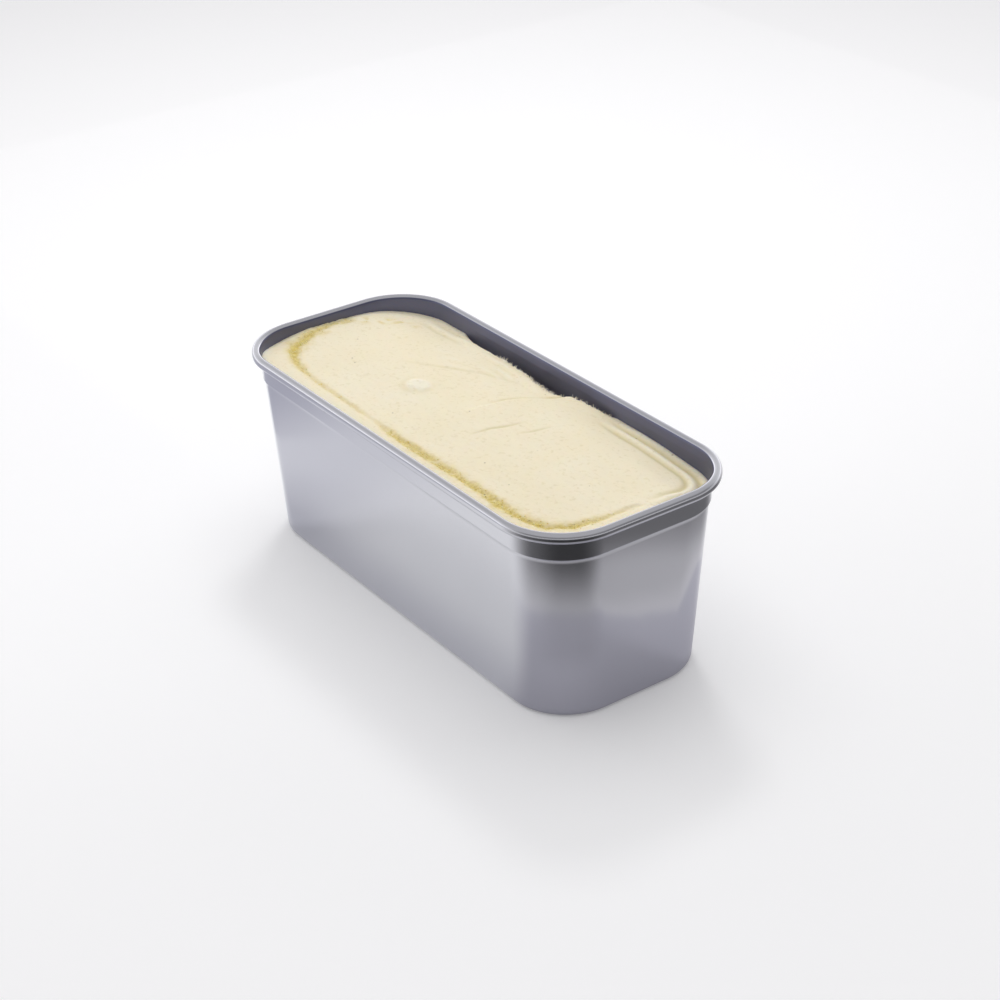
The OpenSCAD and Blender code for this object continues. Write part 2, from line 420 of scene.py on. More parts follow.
line = add_node(pan_tree, "GeometryNodeObjectInfo", {"Object": given["Section"]}).outputs["Geometry"]
rows = add_node(pan_tree, "GeometryNodeAttributeDomainSize", {0: line}).outputs["Point Count"]
per_corner = calc("ADD", given["Corner steps"], given["Side steps"])
columns = calc("MULTIPLY_ADD", per_corner, 4.0, 1.0)
grid = add_node(pan_tree, "GeometryNodeMeshGrid",
                {"Vertices X": columns, "Vertices Y": rows}).outputs["Mesh"]

index = add_node(pan_tree, "GeometryNodeInputIndex").outputs[0]
row = calc("FLOORED_MODULO", index, rows)
column = calc("FLOORED_MODULO", calc("FLOOR", calc("DIVIDE", calc("ADD", index, 0.5), rows)),
              calc("MULTIPLY", per_corner, 4.0))
corner = calc("FLOOR", calc("DIVIDE", calc("ADD", column, 0.5), per_corner))
place = calc("SUBTRACT", column, calc("MULTIPLY", corner, per_corner))
turn = calc("MINIMUM", calc("DIVIDE", place, given["Corner steps"]), 1.0)
past_corner = calc("SUBTRACT", place, given["Corner steps"])
along = calc("MAXIMUM", calc("DIVIDE", past_corner, given["Side steps"]), 0.0)
angle = calc("MULTIPLY", calc("ADD", corner, turn), math.pi / 2)

point = add_node(pan_tree, "GeometryNodeSampleIndex",
                 {"Geometry": line, "Value": add_node(pan_tree, "GeometryNodeInputPosition").outputs[0],
                  "Index": row}, data_type="FLOAT_VECTOR", domain="POINT").outputs["Value"]
inset, radius, height = add_node(pan_tree, "ShaderNodeSeparateXYZ", {0: point}).outputs


def corner_centre(trig, size):
    """Where the corner's axis lies, moving on to the next corner's along the side."""
    half = calc("SUBTRACT", calc("MULTIPLY", size, 0.5), calc("ADD", inset, radius))
    here = calc("SIGN", calc(trig, calc("MULTIPLY_ADD", corner, math.pi / 2, math.pi / 4)))
    there = calc("SIGN", calc(trig, calc("MULTIPLY_ADD", corner, math.pi / 2, 3 * math.pi / 4)))
    return calc("MULTIPLY", half, calc("MULTIPLY_ADD", calc("SUBTRACT", there, here), along, here))


x = calc("MULTIPLY_ADD", radius, calc("COSINE", angle), corner_centre("COSINE", given["Rim length"]))
y = calc("MULTIPLY_ADD", radius, calc("SINE", angle), corner_centre("SINE", given["Rim width"]))
within = calc("LESS_THAN", row, calc("SUBTRACT", given["Inner rows"], 0.5))
marked = add_node(pan_tree, "GeometryNodeStoreNamedAttribute",
                  {"Geometry": grid, "Name": "inside", "Value": within},
                  data_type="FLOAT", domain="POINT").outputs[0]
position = add_node(pan_tree, "ShaderNodeCombineXYZ", {0: x, 1: y, 2: height}).outputs[0]
placed = add_node(pan_tree, "GeometryNodeSetPosition", {"Geometry": marked, "Position": position})
closed = add_node(pan_tree, "GeometryNodeMergeByDistance",
                  {"Geometry": placed.outputs[0], "Distance": weld})
real = add_node(pan_tree, "GeometryNodeRealizeInstances", {"Geometry": closed.outputs[0]})
coated = add_node(pan_tree, "GeometryNodeSetMaterial",
                  {"Geometry": real.outputs[0], "Material": given["Steel"]})
is_inside = add_node(pan_tree, "GeometryNodeInputNamedAttribute", {"Name": "inside"})
# painted shade: the inside rows of the pan get the dark inner steel
inner_shaded = add_node(pan_tree, "GeometryNodeSetMaterial",
                  {"Geometry": coated.outputs[0], "Material": given["Shaded inner steel"],
                   "Selection": calc("GREATER_THAN", is_inside.outputs["Attribute"], 0.9)})
add_node(pan_tree, "NodeGroupOutput", {0: inner_shaded.outputs[0]})
print(f"pan tree of {len(pan_tree.nodes)} nodes")

# %% [markdown]
# ## Stainless steel
#
# Pans like this are usually pressed from AISI 304 sheet and left with a dull polish. It reads as a
# satin mirror: broad soft reflections, slightly uneven because the drawn sheet is never quite
# flat, and a cool, faintly lilac grey.

# %% Stainless steel, satin
steel, steel_tree, steel_shader = new_material("stainless_steel_satin")
steel_place = add_node(steel_tree, "ShaderNodeTexCoord").outputs["Object"]
cloud = noise(steel_tree, steel_place, 12.0, 1.0)
grain = noise(steel_tree, steel_place, 900.0, 2.0)
steel_bump = add_node(steel_tree, "ShaderNodeBump",
                      {"Strength": 0.03, "Distance": 0.0001, "Height": grain}).outputs[0]
for socket, value in (("Base Color", blend(steel_tree, cloud, "D0D1D6", "D6D7DC")),
                      ("Roughness", ramp(steel_tree, cloud, 0.0, 1.0, 0.11, 0.145)),
                      ("Normal", steel_bump)):
    steel_tree.links.new(value, steel_shader.inputs[socket])
steel_shader.inputs["Metallic"].default_value = 1.0
print("steel ready")

# %% [markdown]
# ## Dark inner steel
#
# Inside, the same sheet is given painted shade: a dark lilac grey base with a duller finish, so
# it stops mirroring the cream and shows one dull, dark lilac grey above the ice cream.

# %% Stainless steel inside the pan, in painted dark shade
shaded_inner_steel, inner_shade_tree, inner_shade_shader = new_material("stainless_steel_painted_shade")
inner_shade_place = add_node(inner_shade_tree, "ShaderNodeTexCoord").outputs["Object"]
inner_shade_cloud = noise(inner_shade_tree, inner_shade_place, 30.0, 4.0)
for socket, value in (("Base Color", blend(inner_shade_tree, inner_shade_cloud, "6A6D87", "777A95")),
                      ("Roughness", ramp(inner_shade_tree, inner_shade_cloud, 0.0, 1.0, 0.38, 0.50))):
    inner_shade_tree.links.new(value, inner_shade_shader.inputs[socket])
inner_shade_shader.inputs["Metallic"].default_value = 1.0

# %% Build the pan
def bake_modifier(source, name):
    """A plain mesh object from source with its modifiers applied; source is removed."""
    view = bpy.context.evaluated_depsgraph_get()
    mesh = bpy.data.meshes.new_from_object(source.evaluated_get(view), depsgraph=view)
    mesh.name = name
    bpy.data.objects.remove(source)
    return object_from_mesh(name, mesh)


def finish_shell(piece, sharp_degrees):
    """Turns every face of a closed shell outwards and smooths it, with sharp edges kept."""
    shell = bmesh.new()
    shell.from_mesh(piece.data)
    bmesh.ops.dissolve_degenerate(shell, dist=1e-7, edges=shell.edges)
    bmesh.ops.recalc_face_normals(shell, faces=shell.faces)
    shell.to_mesh(piece.data)
    open_edges = sum(1 for e in shell.edges if len(e.link_faces) != 2)
    shell.free()
    piece.data.shade_smooth()
    piece.data.set_sharp_from_angle(angle=math.radians(sharp_degrees))
    print(f"{piece.name}: {len(piece.data.polygons)} faces, {open_edges} open edges")


blank = object_from_mesh("pan_blank", bpy.data.meshes.new("pan_blank"))
press = blank.modifiers.new("press", "NODES")
press.node_group = pan_tree
for label, value in (("Section", section_line), ("Rim length", rim_l * MM), ("Rim width", rim_w * MM),
                     ("Corner steps", 32), ("Side steps", 8), ("Inner rows", inner_rows),
                     ("Steel", steel), ("Shaded inner steel", shaded_inner_steel)):
    press[pan_inputs[label]] = value
pan = bake_modifier(blank, "steel_pan")
bpy.data.objects.remove(section_line)
finish_shell(pan, 50)
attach(pan, "root")
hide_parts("pan")

# %% [markdown]
# ## The ice cream's surface
#
# Ice cream is worked into the pan soft and pressed down with a spatula, so its surface is a
# record of strokes: two broad smears that overlap, a trough left along the far side, ridges
# where the blade ran along the wall, and a crumbly, icy seam where it scraped the near side.
# It could be sculpted by hand. Here each stroke is one term of a height rule, because then
# each one can be placed and measured in millimetres.

# %% Shapes that the strokes are made from
half_l, half_w = rim_l / 2, rim_w / 2


def bell(value, width):
    """1 where value is 0, falling off on both sides over width."""
    return np.exp(-(value / width) ** 2)


def table(x, pairs, blur=8.0):
    """A smooth curve through (x, value) pairs, blurred over blur millimetres."""
    knots, values = np.array(pairs, float).T
    fine = np.arange(-half_l - 40, half_l + 40, 1.0)
    kernel = bell(np.arange(-30, 31), blur)
    flat = np.interp(fine, knots, values)
    curve = np.convolve(np.pad(flat, 30, mode="edge"), kernel / kernel.sum(), mode="valid")
    return np.interp(x, fine, curve)


def waves(x, y, pitch, seed):
    """Smooth random waves between -1 and 1, about pitch millimetres from crest to hollow."""
    field = np.random.default_rng(seed).uniform(-1, 1, (512, 512))
    i, j = np.floor(x / pitch).astype(int), np.floor(y / pitch).astype(int)
    u, v = smooth(0, 1, x / pitch - i), smooth(0, 1, y / pitch - j)
    low = field[i % 512, j % 512] * (1 - u) + field[(i + 1) % 512, j % 512] * u
    high = field[i % 512, (j + 1) % 512] * (1 - u) + field[(i + 1) % 512, (j + 1) % 512] * u
    return low * (1 - v) + high * v


def to_path(x, y, path):
    """Distance to a line through (x, y) points, and how far along it that is (0 to 1)."""
    path = np.array(path, float)
    steps = np.hypot(*np.diff(path, axis=0).T)
    start = np.concatenate([[0], np.cumsum(steps)])
    best, where = np.full(np.shape(x), 1e9), np.zeros(np.shape(x))
    for k, (a, b) in enumerate(zip(path[:-1], path[1:])):
        d = (b - a) / steps[k]
        t = np.clip((x - a[0]) * d[0] + (y - a[1]) * d[1], 0, steps[k])
        gap = np.hypot(x - a[0] - t * d[0], y - a[1] - t * d[1])
        where = np.where(gap < best, (start[k] + t) / start[-1], where)
        best = np.minimum(best, gap)
    return best, where


def from_steel(x, y, inset, radius):
    """Distance inward from the steel's inner face."""
    qx = np.abs(x) - (half_l - inset - radius)
    qy = np.abs(y) - (half_w - inset - radius)
    return radius - np.hypot(np.maximum(qx, 0), np.maximum(qy, 0)) - np.minimum(np.maximum(qx, qy), 0)

# %% Inner face of the steel at a height
def inner_face(z):
    """Inset and corner radius of the steel's inner face at heights z."""
    on_collar = collar_low_in + sheet - neck_lean * (z - collar_low_z) / (neck_z - collar_low_z)
    on_step = collar_low_in + sheet + step_w * (collar_low_z - z) / step_h
    lean = (wall_z - z) / (wall_z - foot_edge_r)
    on_wall = wall_in + wall_taper * lean + sheet
    inset = np.where(z >= collar_low_z, on_collar, np.where(z >= wall_z, on_step, on_wall))
    radius = np.where(z >= wall_z, rim_r - inset, wall_r + (foot_corner_r - wall_r) * lean - sheet)
    return inset, radius


mid_drop, near_drop = 8.0, 6.5
rest_inset = float(inner_face(np.array(pan_h - mid_drop))[0])
rest_radius = rim_r - rest_inset
reach_y = half_w - rest_inset
print(f"the ice cream reaches {reach_y:.1f} mm from the middle line")

# %% [markdown]
# ## One term for each stroke
#
# The far side drops away towards the steel, and between the two smears it breaks off in a bay
# with a ragged lip. The second smear lies a little over the first, so its edge shows as a step.
# Along the far right wall the blade left two grooves that turn with the corner. The near seam
# is a crooked scrape with crystals in it. Terms also add to three marks that the material reads:
# "icy" where ice crystals show, a crease mark for painted olive shade in grooves and creases,
# and "pale" for painted highlight where a ridge catches the light.

# %% Height rule
far_level = [(-180, 12), (-150, 13.2), (-134, 13.2), (-116, 13.8), (-104, 13.4), (-86, 12.2),
             (-65, 11.6), (-34, 11.4), (0, 11.2), (31, 11.8), (60, 13.2), (81, 13.4), (101, 14.6),
             (120, 15.6), (140, 17)]
lip_width = [(-112, 0), (-98, 4.5), (-86, 6.5), (-54, 7.5), (-40, 7.6), (-19, 10.5), (2, 14.5),
             (14, 10.5), (25, 6.5), (37, 4.4), (52, 2.5), (64, 0)]
smear_edge = [(20, 72), (17, 56), (11, 46), (4, 34), (0, 25), (-3, 10), (-5, -6)]
near_seam = [(-168, 14), (-171, 0), (-166, -20), (-154, -41), (-134, -51), (-117, -54), (-98, -56),
             (-39, -57), (5, -58), (57, -58), (92, -57.5), (116, -59), (134, -57), (147, -51.5),
             (155, -39), (159, -22), (160, 4)]
seam_width = [(0, 2.4), (0.12, 3.2), (0.2, 2.2), (0.24, 1.5), (0.4, 1.4), (0.44, 0.9),
              (0.48, 1.8), (0.6, 2.4), (0.75, 2.6), (0.86, 3.4), (0.93, 2.6), (1, 1.2)]
seam_ice = [(0, 0.5), (0.06, 0.75), (0.13, 1.0), (0.2, 0.8), (0.25, 0.45), (0.4, 0.4),
            (0.435, 0.08), (0.46, 0.3), (0.49, 0.75), (0.7, 0.85), (0.85, 1.0), (0.93, 0.8),
            (1, 0.1)]
ice_patches = [(-157, -38, 9, 1.0), (-166, -12, 7, 0.8), (-160, -26, 6, 0.5), (-171, 10, 7, 0.6),
               (-163, 22, 6, 0.5), (-154, 33, 6, 0.7), (-147, 42, 6, 0.6), (-138, 47, 4, 0.5)]
blade_marks = [([(24, -20), (26, -6), (30, 3), (33, 16)], 1.2, 0.5),
               ([(42, 4), (46, 12), (49, 26)], 1.0, 0.4),
               ([(-92, 5), (-66, 22), (-40, 40), (-14, 50)], 1.6, 0.25)]


def ice_cream_surface(x, y):
    """Height of the surface, and the marks "icy", "crease" and "pale", at places in mm."""
    near = from_steel(x, y, rest_inset, rest_radius)
    wall_gap = reach_y - y
    drop = mid_drop - (mid_drop - near_drop) * smooth(32, 0, near) * smooth(reach_y, -reach_y / 2, y)
    drop = drop + (table(x, far_level) - mid_drop) * smooth(reach_y - 46, reach_y, y)
    drop = drop + 3.4 * bell(np.hypot(x + 176, y + 47), 20) + 1.2 * bell(np.hypot(x + 174, y - 34), 22)
    drop = drop + 0.35 * waves(x, y, 34, 11) + 0.12 * waves(x, y, 13, 12)
    crease_shade, pale = np.zeros_like(x), np.zeros_like(x)

    # Ragged lip and the fall behind it
    lip = table(x, lip_width, 5) * (1 + 0.10 * waves(x, y, 9, 3))
    fray = smooth(-66, -48, x) * smooth(52, 36, x)
    ragged = fray * (1.3 * waves(x, y * 0.25, 1.6, 4) + 1.0 * waves(x, y * 0.25, 4.5, 5))
    fall = np.clip((lip + ragged - wall_gap) / np.maximum(lip, 2.0), 0, 1.4) * smooth(0.5, 3, lip)
    drop = drop + np.maximum(lip, 0) * 1.25 * fall ** 0.8
    drop = drop - 1.1 * bell(wall_gap - lip - 3.5, 4.5) * smooth(1, 5, lip)

    # Second smear over the first
    _, edge_place = to_path(x, y, smear_edge)
    path = np.array(smear_edge, float)
    side = x - np.interp(y, path[::-1, 1], path[::-1, 0])
    strength = 1 - smooth(0.35, 1.0, edge_place)
    over = smooth(-1.0, 2.6, side) * np.exp(-np.maximum(side, 0) / 70) * smooth(-15, 45, y)
    drop = drop - 2.0 * over + 0.8 * strength * bell(side + 1.2, 1.6) * smooth(0, 30, y)
    # painted shade: a thin olive line along the smear's edge
    crease_shade = crease_shade + 0.8 * strength * bell(side + 1.0, 1.9) * smooth(2, 28, y)

    # Fine strokes that follow the lips
    bow = np.hypot((x + 40) / 1.9, y - 20) + 2.5 * waves(x, y, 40, 21)
    left_lobe = smooth(-110, -70, x) * smooth(12, -8, x) * smooth(20, 52, y) * smooth(reach_y, 62, y)
    comb = np.sin(bow * 0.8) * smooth(-0.3, 0.5, waves(x, y, 16, 22))
    drop = drop + 0.16 * left_lobe * comb
    # painted shade in the comb's hollows, painted highlight on its crests
    crease_shade = crease_shade + 0.16 * left_lobe * smooth(0.5, 1.0, comb)
    pale = pale + 0.5 * left_lobe * smooth(-0.4, -1.0, comb)

    # Grooves along the far wall and round the right corner
    right = smooth(48, 84, x) * smooth(18, 44, y + 0.35 * np.maximum(x - 134, 0))
    left = 0.5 * smooth(-86, -104, x) * smooth(-150, -128, x) * smooth(40, 56, y)
    wander = near + 0.8 * waves(x, y, 26, 31)
    # painted shade in the two grooves; painted highlight on the ridges and on a strip along the near
    # wall
    for centre, width, depth in ((6.0, 1.9, 1.15), (14.5, 2.1, 0.95)):
        drop = drop + depth * (right + left) * bell(wander - centre, width)
        crease_shade = crease_shade + 0.75 * (right + 0.8 * left) * bell(wander - centre, width)
    ridges = (right + left) * (bell(wander - 10.0, 2.4) + bell(wander - 1.5, 2.0))
    drop = drop - 0.7 * ridges
    pale = pale + 0.6 * ridges + 0.5 * smooth(7, 2, near) * smooth(-40, -60, y)

    # Near seam with its crystals
    gap, place = to_path(x, y, near_seam)
    crooked = 1.6 * waves(x, y, 15, 41) * smooth(0.4, 0.5, place)
    gap = np.abs(gap + crooked + 0.8 * waves(x, y, 5, 42) * 0.6)
    width = np.interp(place, *np.array(seam_width).T)
    ice = np.interp(place, *np.array(seam_ice).T)
    rough = 0.5 + 0.5 * waves(x, y, 3.2, 43)
    icy = ice * bell(gap, width * (1.25 + 0.9 * rough)) * smooth(0.0, 0.55, rough + 0.25)
    drop = drop + (0.9 + 0.7 * ice) * bell(gap, width * 1.1)
    for px, py, size, amount in ice_patches:
        spot = amount * bell(np.hypot(x - px, y - py), size) * smooth(-0.1, 0.5, waves(x, y, 4.2, 51))
        icy = np.maximum(icy, spot)
        drop = drop + 0.7 * spot
    icy = np.clip(icy, 0, 1)
    drop = drop - icy * (0.55 * waves(x, y, 1.7, 61) + 0.55 * waves(x, y, 3.1, 62))

    # Bump, blade marks and the faint grain
    blob = np.hypot(x + 53, (y + 6) / 0.9) + 1.2 * waves(x, y, 7, 81)
    drop = drop - (1.15 + 0.3 * waves(x, y, 5, 82)) * smooth(12.6, 4.5, blob)
    # painted highlight on the bump's top, painted shade on a thin arc round its lower right side
    pale = pale + 0.8 * smooth(10.5, 6, blob)
    crease_shade = crease_shade + 0.22 * bell(blob - 11.5, 2.4) * smooth(2, -8, (x + 53) * 0.7 + (y + 6) * 0.7)
    # painted shade along the blade marks' grooves
    for points, width, amount in blade_marks:
        gap, place = to_path(x, y, points)
        mark = bell(gap, width) * np.sin(np.pi * np.clip(place, 0.02, 0.98)) ** 0.6
        drop = drop + 0.8 * amount * mark
        crease_shade = crease_shade + 1.2 * amount * mark
    stroke = waves(x * 0.25 + y * 0.18, y * 1.1 - x * 0.12, 2.4, 71)
    drop = drop + 0.07 * stroke + 0.05 * waves(x, y, 1.5, 72)
    return pan_h - drop, icy, np.clip(crease_shade, 0, 1), np.clip(pale, 0, 1)


trial = ice_cream_surface(np.array([0.0, -53.0, 100.0]), np.array([0.0, -6.0, 60.0]))
print("heights at three places:", trial[0].round(1))

# %% [markdown]
# ## The ice cream as one closed body
#
# The surface is a fine grid whose outline follows the steel, and the hidden sides go down in a
# few coarse steps to the floor, so the piece is a full block and not a skin.

# %% Ice cream mesh
corner_n, middle_n, across_n = 46, 300, 170
station_n = middle_n + 2 * corner_n
skin_gap = 0.02


def plan_point(i, j, inset, radius):
    """Plan place of grid point (i, j) for an outline of that inset and corner radius."""
    r = radius - skin_gap
    a, b = half_l - inset - radius, half_w - inset - radius
    turn = np.where(i < corner_n, corner_n - i, np.maximum(0, i - corner_n - middle_n))
    angle = np.pi / 2 * turn / corner_n
    on_side = a * (2 * (i - corner_n) / middle_n - 1)
    bent = np.where(i < corner_n, -1, 1) * (a + r * np.sin(angle))
    x = np.where(turn == 0, on_side, bent)
    return x, (b + r * np.cos(angle)) * (2 * j / across_n - 1)


grid_i, grid_j = np.meshgrid(np.arange(station_n + 1), np.arange(across_n + 1), indexing="ij")
flat_x, flat_y = plan_point(grid_i, grid_j, rest_inset, rest_radius)
top_z, icy, crease_shade, pale = ice_cream_surface(flat_x, flat_y)
top_x, top_y = plan_point(grid_i, grid_j, *inner_face(top_z))
ids = np.arange(grid_i.size).reshape(grid_i.shape)
rim_ids = np.concatenate([ids[:-1, 0], ids[-1, :-1], ids[:0:-1, -1], ids[0, :0:-1]])
rim_i, rim_j, rim_z = grid_i.ravel()[rim_ids], grid_j.ravel()[rim_ids], top_z.ravel()[rim_ids]

verts = [np.stack([top_x, top_y, top_z], -1).reshape(-1, 3)]
quads = [np.stack([ids[:-1, :-1], ids[1:, :-1], ids[1:, 1:], ids[:-1, 1:]], -1).reshape(-1, 4)]
cavity_r = foot_edge_r - sheet
levels = [(collar_low_z, 0.0), (wall_z, 0.0)]
for angle in np.radians([0, 30, 60, 90]):
    level = sheet + skin_gap + (cavity_r - skin_gap) * (1 - math.sin(angle))
    levels.append((level, cavity_r * (1 - math.cos(angle))))
above, count = rim_ids, grid_i.size
for k, (level, pull) in enumerate(levels):
    z = np.minimum(level, rim_z - 0.4 * (k + 1))
    inset, radius = inner_face(z)
    x, y = plan_point(rim_i, rim_j, inset + pull, radius - pull)
    verts.append(np.stack([x, y, z], -1))
    below = count + np.arange(len(rim_ids))
    quads.append(np.stack([above, below, np.roll(below, -1), np.roll(above, -1)], -1))
    above, count = below, count + len(rim_ids)
verts.append(np.array([[0.0, 0.0, sheet + skin_gap]]))
fan = [(int(b), int(a), count) for a, b in zip(above, np.roll(above, -1))]
cream_mesh = bpy.data.meshes.new("ice_cream_smoothed")
cream_mesh.from_pydata((np.concatenate(verts) * MM).tolist(), [], np.concatenate(quads).tolist() + fan)
for name, values in (("icy", icy), ("crease_shade", crease_shade), ("pale", pale)):
    mark = cream_mesh.attributes.new(name, "FLOAT", "POINT")
    padded = np.zeros(len(cream_mesh.vertices), np.float32)
    padded[:values.size] = values.ravel()
    mark.data.foreach_set("value", padded)
cream = object_from_mesh("ice_cream_smoothed", cream_mesh)
finish_shell(cream, 60)
print(f"surface between {top_z.min():.1f} and {top_z.max():.1f} mm")

# %% [markdown]
# ## Vanilla ice cream
#
# Cream, sugar and air, frozen while it is churned. Light goes a few millimetres into it, so its
# shadows are soft and warm, and its skin is matt with a slight wet sheen. Grooves and creases get
# a painted olive shade, and ridges a painted highlight. Where water has frozen out, the crystals
# are a deeper, ochre yellow.
# A few fine dark flecks are vanilla seed.

# %% Vanilla ice cream, churned
vanilla, van_tree, van_shader = new_material("vanilla_ice_cream_churned")
van_place = add_node(van_tree, "ShaderNodeTexCoord").outputs["Object"]


def mark_value(label):
    """A mark of the surface mesh, as the material reads it."""
    return add_node(van_tree, "ShaderNodeAttribute", attribute_name=label).outputs["Fac"]


patch = noise(van_tree, van_place, 22.0, 4.0)
tone = blend(van_tree, patch, "F5E8C4", "FAF0D8")
# painted shade: grooves and creases are darkened to olive; painted highlight: ridges are lightened
tone = blend(van_tree, mark_value("crease_shade"), tone, "D6CA94")
tone = blend(van_tree, mark_value("pale"), tone, "FBF3DE")
mottle = ramp(van_tree, noise(van_tree, van_place, 380.0, 2.0), 0.56, 0.72, 0.0, 0.3)
tone = blend(van_tree, mottle, tone, "D8C998")
crystal = add_node(van_tree, "ShaderNodeTexVoronoi", {"Vector": van_place, "Scale": 620.0})
crystal_tone = blend(van_tree, crystal.outputs["Distance"], "EBD985", "CFB654")
tone = blend(van_tree, mark_value("icy"), tone, crystal_tone)
fleck = add_node(van_tree, "ShaderNodeTexVoronoi", {"Vector": van_place, "Scale": 130.0})
near_fleck = ramp(van_tree, fleck.outputs["Distance"], 0.06, 0.10, 1.0, 0.0)
fleck_draw = add_node(van_tree, "ShaderNodeSeparateColor", {0: fleck.outputs["Color"]}).outputs[0]
rare = ramp(van_tree, fleck_draw, 0.80, 0.86, 0.0, 0.5)
dark = add_node(van_tree, "ShaderNodeMath", {0: near_fleck, 1: rare}, operation="MULTIPLY")
tone = blend(van_tree, dark.outputs[0], tone, "7A6440")
skin = noise(van_tree, van_place, 500.0, 3.0)
skin_bump = add_node(van_tree, "ShaderNodeBump",
                     {"Strength": 0.25, "Distance": 0.0005, "Height": skin}).outputs[0]
gloss = ramp(van_tree, patch, 0.0, 1.0, 0.42, 0.56)
for socket, value in (("Base Color", tone), ("Roughness", gloss), ("Normal", skin_bump)):
    van_tree.links.new(value, van_shader.inputs[socket])
van_shader.inputs["Subsurface Weight"].default_value = 0.35
van_shader.inputs["Subsurface Radius"].default_value = (1.0, 0.75, 0.42)
van_shader.inputs["Subsurface Scale"].default_value = 0.004
van_shader.inputs["IOR"].default_value = 1.38
cream_mesh.materials.append(vanilla)
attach(cream, "root")
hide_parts("ice_cream")

# %% [markdown]
# ## Ice crystals
#
# Crumbs of ice and frozen cream stand loose in the scraped seam. Placing them by hand would
# take hours, so Geometry Nodes scatter small lumps over the surface, only as thick as the
# "icy" mark says, each turned and sized at random from a fixed seed.

# %% Geometry Nodes for the crumbs
crumb_tree = bpy.data.node_groups.new("icy_crumbs", "GeometryNodeTree")
crumb_inputs = name_inputs(crumb_tree, (
    ("Surface", "Object"), ("Crumbs per square metre", "Float"), ("Smallest", "Float"),
    ("Largest", "Float"), ("Seed", "Int"), ("Ice", "Material")))
full_turn, squash_seed, chip_depth = 6.28, 7, 0.0009


def crumb_random(low, high, seed):
    """A random vector between two others for each crumb."""
    return add_node(crumb_tree, "FunctionNodeRandomValue", {0: low, 1: high, "Seed": seed},
                    data_type="FLOAT_VECTOR").outputs[0]


def crumb_vector(operation, vector, other):
    """One vector sum in the crumbs' tree; other is a vector, or the scale for SCALE."""
    return add_node(crumb_tree, "ShaderNodeVectorMath",
                    {0: vector, "Scale" if operation == "SCALE" else 1: other},
                    operation=operation).outputs[0]


given = add_node(crumb_tree, "NodeGroupInput").outputs
surface = add_node(crumb_tree, "GeometryNodeObjectInfo",
                   {"Object": given["Surface"]}).outputs["Geometry"]
mark = add_node(crumb_tree, "GeometryNodeInputNamedAttribute", {"Name": "icy"}).outputs["Attribute"]
share = ramp(crumb_tree, mark, 0.25, 1.0)
density = add_node(crumb_tree, "ShaderNodeMath", {0: share, 1: given["Crumbs per square metre"]},
                   operation="MULTIPLY").outputs[0]
scatter = add_node(crumb_tree, "GeometryNodeDistributePointsOnFaces",
                   {"Mesh": surface, "Density": density, "Seed": given["Seed"]})
lump = add_node(crumb_tree, "GeometryNodeMeshIcoSphere",
                {"Radius": 0.5, "Subdivisions": 2}).outputs["Mesh"]
size = add_node(crumb_tree, "FunctionNodeRandomValue",
                {2: given["Smallest"], 3: given["Largest"], "Seed": given["Seed"]},
                data_type="FLOAT").outputs[1]
turn = crumb_random((0, 0, 0), (full_turn,) * 3, given["Seed"])
scale = crumb_vector("SCALE", crumb_random((0.6, 0.6, 0.5), (1.3, 1.1, 0.9), squash_seed), size)
placed = add_node(crumb_tree, "GeometryNodeInstanceOnPoints",
                  {"Points": scatter.outputs["Points"], "Instance": lump, "Rotation": turn,
                   "Scale": scale})
real = add_node(crumb_tree, "GeometryNodeRealizeInstances", {"Geometry": placed.outputs[0]})
chip = add_node(crumb_tree, "ShaderNodeTexNoise", {"Scale": 900.0, "Detail": 1.0}).outputs["Color"]
chip = crumb_vector("SCALE", crumb_vector("SUBTRACT", chip, (0.5, 0.5, 0.5)), chip_depth)
chipped = add_node(crumb_tree, "GeometryNodeSetPosition",
                   {"Geometry": real.outputs[0], "Offset": chip})
coated = add_node(crumb_tree, "GeometryNodeSetMaterial",
                  {"Geometry": chipped.outputs[0], "Material": given["Ice"]})
add_node(crumb_tree, "NodeGroupOutput", {0: coated.outputs[0]})

# %% Frozen cream crystals and the crumbs made of them
ice, ice_tree, ice_shader = new_material("frozen_cream_crystals")
ice_place = add_node(ice_tree, "ShaderNodeTexCoord").outputs["Object"]
ice_patch = ramp(ice_tree, noise(ice_tree, ice_place, 260.0, 2.0), 0.35, 0.65)
ice_tone = blend(ice_tree, ice_patch, "F2D980", "FAECB4")
ice_tree.links.new(ice_tone, ice_shader.inputs["Base Color"])
ice_shader.inputs["Roughness"].default_value = 0.35
ice_shader.inputs["Subsurface Weight"].default_value = 0.4
ice_shader.inputs["Subsurface Radius"].default_value = (1.0, 0.8, 0.45)
ice_shader.inputs["Subsurface Scale"].default_value = 0.002

blank = object_from_mesh("crumb_blank", bpy.data.meshes.new("crumb_blank"))
sprinkle = blank.modifiers.new("sprinkle", "NODES")
sprinkle.node_group = crumb_tree
for label, value in (("Surface", cream), ("Crumbs per square metre", 300000.0), ("Smallest", 0.0005),
                     ("Largest", 0.0013), ("Seed", 5), ("Ice", ice)):
    sprinkle[crumb_inputs[label]] = value
crumbs = bake_modifier(blank, "icy_crumbs")
finish_shell(crumbs, 180)
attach(crumbs, "root")

# %% [markdown]
# ## Torn fringe
#
# Where the spatula lifted off the far lip, the cream tore and left fine hairs along the edge.
# Each is a short curved spike. They are placed along the crest of the lip, found as the points
# of the surface mesh just before it falls, and lean over the gap at seeded random angles.

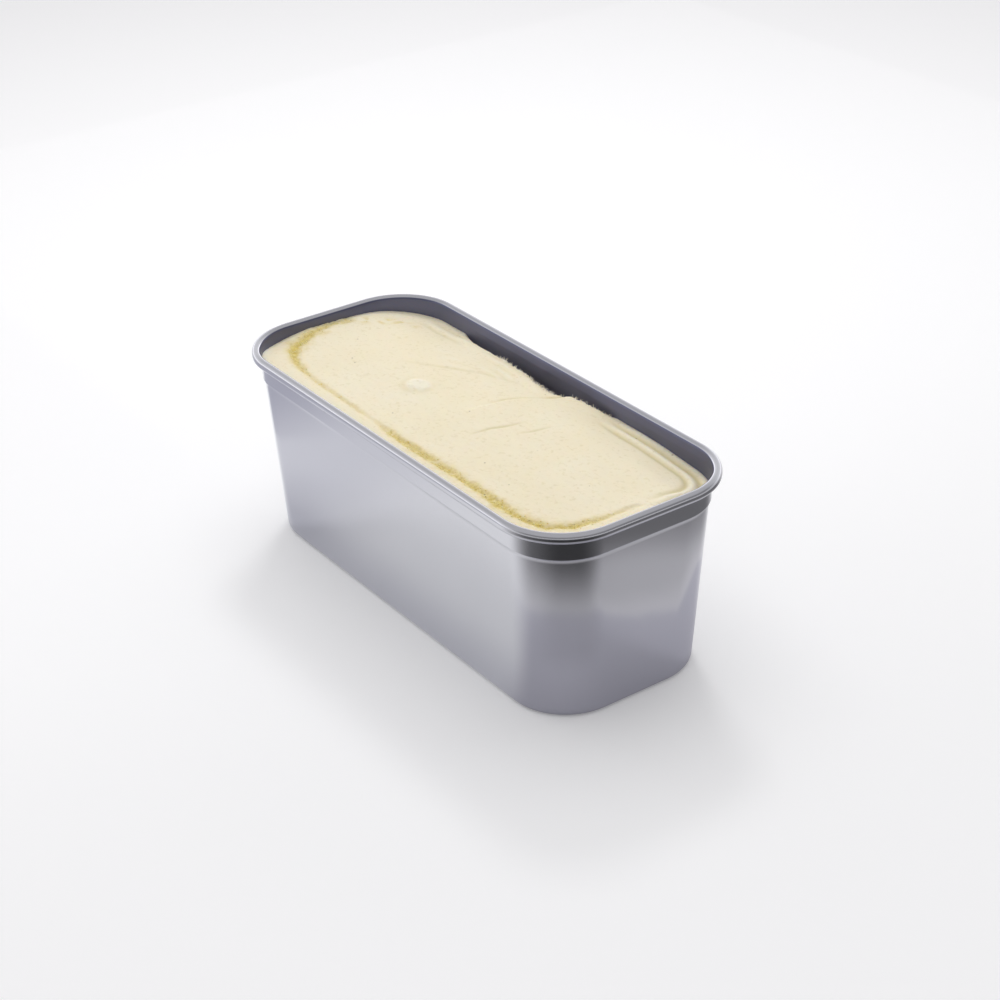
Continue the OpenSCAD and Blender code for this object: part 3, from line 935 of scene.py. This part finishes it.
# %% Fringe along the lip
def spike(base, direction, length, width, bend):
    """Points and faces of one three-sided spike."""
    direction = direction.normalized()
    side = direction.orthogonal().normalized()
    other = direction.cross(side)
    points = []
    for share, size in ((0.0, 1.0), (0.55, 0.6)):
        centre = base + direction * (length * share) + bend * share ** 2
        for k in range(3):
            turn = k * 2 * math.pi / 3
            points.append(centre + (side * math.cos(turn) + other * math.sin(turn)) * (width * size / 2))
    points.append(base + direction * length + bend)
    faces = [(0, 2, 1), (3, 4, 6), (4, 5, 6), (5, 3, 6)]
    for k in range(3):
        n = (k + 1) % 3
        faces.append((k, n, n + 3, k + 3))
    return points, faces


rng = np.random.default_rng(17)
off_lip = np.abs((reach_y - flat_y) - table(flat_x, lip_width, 5))
crest_row = np.argmax(np.where(flat_y > 40, -off_lip, -1e9), axis=1)
fringe_points, fringe_faces = [], []
for i in range(station_n + 1):
    x = flat_x[i, crest_row[i]]
    if not -66 < x < 56:
        continue
    thick = 3 if -24 < x < 12 else 2 if -60 < x < -40 or 24 < x < 44 else 1
    for _ in range(rng.poisson(0.8 * thick)):
        j = min(across_n, crest_row[i] + int(rng.integers(-2, 2)))
        sideways = rng.uniform(-0.6, 0.6)
        base = Vector((top_x[i, j] + sideways, top_y[i, j], top_z[i, j] - 0.25)) * MM
        lean = Vector((rng.normal(-0.25, 0.5), rng.normal(0.8, 0.3), rng.normal(0.75, 0.35)))
        bend = Vector((0, 0.4, -0.6)) * (rng.uniform(0.1, 0.9) * MM)
        length, width = rng.uniform(0.9, 2.9) * MM, rng.uniform(0.35, 0.8) * MM
        points, faces = spike(base, lean, length, width, bend)
        first = len(fringe_points)
        fringe_points += points
        fringe_faces += [tuple(first + k for k in face) for face in faces]
fringe_mesh = bpy.data.meshes.new("torn_fringe")
fringe_mesh.from_pydata(fringe_points, [], fringe_faces)
fringe_mesh.materials.append(vanilla)
# painted highlight: the hairs get a strong pale mark
for name in ("icy", "crease_shade", "pale"):
    level = 0.9 if name == "pale" else 0.0
    mark = fringe_mesh.attributes.new(name, "FLOAT", "POINT")
    mark.data.foreach_set("value", np.full(len(fringe_points), level, np.float32))
fringe = object_from_mesh("torn_fringe", fringe_mesh)
finish_shell(fringe, 60)
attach(fringe, "root")
